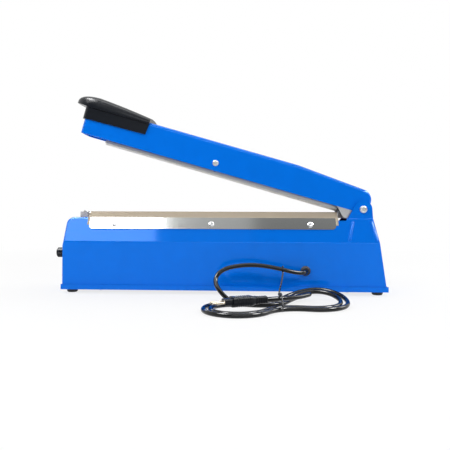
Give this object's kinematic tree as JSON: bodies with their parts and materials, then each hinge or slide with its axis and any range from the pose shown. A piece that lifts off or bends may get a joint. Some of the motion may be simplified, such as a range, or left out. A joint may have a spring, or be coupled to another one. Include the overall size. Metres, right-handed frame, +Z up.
{
  "type": "impulse heat sealer",
  "caption": "Long blue sheet-steel bag sealer with a heated bed, a sprung lifting arm with a black handle, a timer knob and a tied mains cord",
  "frame": {"origin": "on the floor under the middle of the sealer, cord left out", "axes": "+X from the handle to the hinge, +Y to the far side, +Z up"},
  "size_m": [0.4276, 0.2291, 0.2571],
  "materials": {
    "blue_paint": "gloss blue enamel on folded sheet",
    "grey_paint": "blue enamel on the tray",
    "zinc_steel": "bright zinc plating",
    "clamp_steel": "bright rolled strip",
    "core_steel": "varnished laminations",
    "bare_aluminium": "mill finish extrusion",
    "brown_phenolic": "moulded phenolic",
    "nichrome": "resistance ribbon",
    "beige_cloth": "coated glass cloth",
    "white_silicone": "soft silicone",
    "black_plastic": "moulded black plastic",
    "black_rubber": "black rubber",
    "black_cord": "glossy vinyl sheath",
    "plug_brass": "turned brass",
    "board_green": "printed board",
    "coil_tape": "varnished coil tape",
    "lamp_red": "clear red lens",
    "button_red": "moulded button"
  },
  "bodies": {
    "base": {"base_housing": "blue_paint", "base_tray": "grey_paint", "foot_screws": "zinc_steel", "foot_nuts": "zinc_steel", "tray_brackets": "zinc_steel", "tray_screws": "zinc_steel", "bed_screws": "zinc_steel", "clamp_screws": "zinc_steel", "terminal_screws": "zinc_steel", "hinge_axle": "zinc_steel", "hinge_screws": "zinc_steel", "hinge_washers": "zinc_steel", "return_spring": "zinc_steel", "transformer_frame": "zinc_steel", "transformer_screws": "zinc_steel", "switch_hanger": "zinc_steel", "switch_screws": "zinc_steel", "potentiometer_nut": "zinc_steel", "cord_tie": "zinc_steel", "front_clamp_plate": "clamp_steel", "rear_clamp_plate": "clamp_steel", "transformer_core": "core_steel", "seal_bed": "bare_aluminium", "left_terminal_block": "brown_phenolic", "right_terminal_block": "brown_phenolic", "heating_element": "nichrome", "ptfe_cloth": "beige_cloth", "bed_tape": "beige_cloth", "plug_body": "black_plastic", "switch_body": "black_plastic", "timer_potentiometer": "black_plastic", "board_parts": "black_plastic", "board_spacers": "black_plastic", "rubber_feet": "black_rubber", "cord_grommet": "black_rubber", "mains_cord": "black_cord", "cord_hank": "black_cord", "plug_pins": "plug_brass", "timer_board": "board_green", "transformer_coil": "coil_tape", "indicator_lamp": "lamp_red"},
    "arm": {"arm_channel": "blue_paint", "handle_grip": "black_plastic", "handle_screws": "zinc_steel", "cross_screw": "zinc_steel", "cross_nut": "zinc_steel", "push_bracket": "zinc_steel", "bracket_rivets": "zinc_steel"},
    "press": {"press_bar": "bare_aluminium", "silicone_strip": "white_silicone", "pressure_leaf": "zinc_steel"},
    "knob": {"timer_knob": "black_plastic", "potentiometer_shaft": "zinc_steel"},
    "button": {"switch_button": "button_red"}
  },
  "joints": [
    {"name": "arm_hinge", "type": "hinge", "parent": "base", "child": "arm", "pos_m": [0.18595, 0, 0.1082], "axis": [0, -1, 0], "range_deg": [0, 16], "stiffness_Nm_per_rad": 3, "springref_deg": -40.11, "deforming": ["return_spring"]},
    {"name": "press_float", "type": "slide", "parent": "arm", "child": "press", "axis": [0.2756, 0, 0.9613], "range_m": [0, 0.0076], "deforming": ["pressure_leaf"]},
    {"name": "button_press", "type": "slide", "parent": "base", "child": "button", "axis": [0, 0, -1], "range_m": [0, 0.0018]},
    {"name": "timer_turn", "type": "hinge", "parent": "base", "child": "knob", "pos_m": [-0.21375, -0.012, 0.05], "axis": [1, 0, 0], "range_deg": [0, 270]}
  ],
  "couplings": [
    {"joint": "press_float", "follows": "arm_hinge", "m_per_rad": 0.02632},
    {"joint": "button_press", "follows": "arm_hinge", "m_per_rad": 0.0053715}
  ]
}
